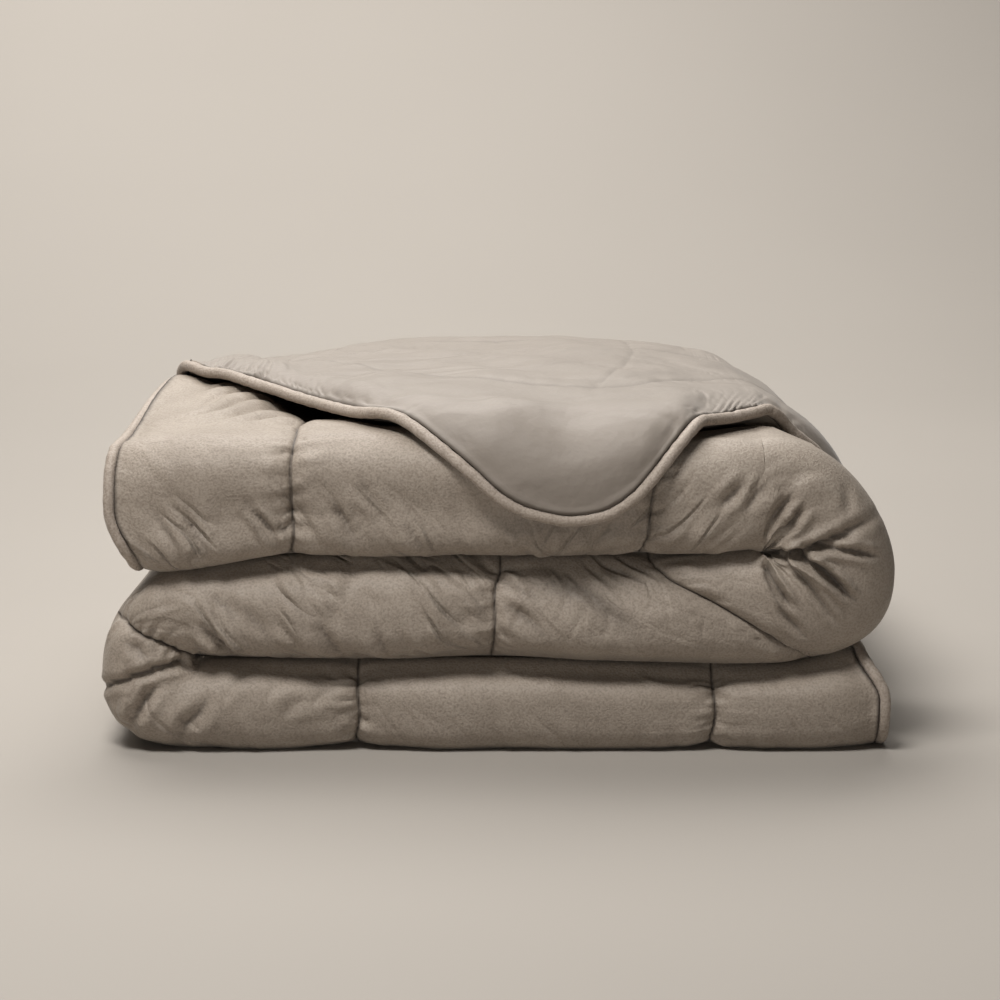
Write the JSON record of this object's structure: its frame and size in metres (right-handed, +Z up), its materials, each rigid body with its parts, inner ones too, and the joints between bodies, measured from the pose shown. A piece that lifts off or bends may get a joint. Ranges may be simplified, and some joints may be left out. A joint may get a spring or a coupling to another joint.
{
  "type": "folded quilted duvet",
  "caption": "Velvet quilted duvet with piped edges and a pale smooth lining, folded into a thick stack with its top layer turned forward in a wave",
  "frame": {"origin": "On the ground, under the middle of the stack's bounding box", "axes": "X runs along the front of the stack, +X towards the fold that carries the top layer; Y runs from the front fold to the rear folds; +Z is up, square to the ground the duvet lies on"},
  "size_m": [0.7026, 0.6796, 0.3207],
  "materials": {
    "velvet": "matt taupe velvet with a short nap",
    "piping_velvet": "taupe velvet drawn tight over a cord"
  },
  "bodies": {
    "root": {"duvet": "velvet", "piping": "piping_velvet"}
  },
  "joints": []
}
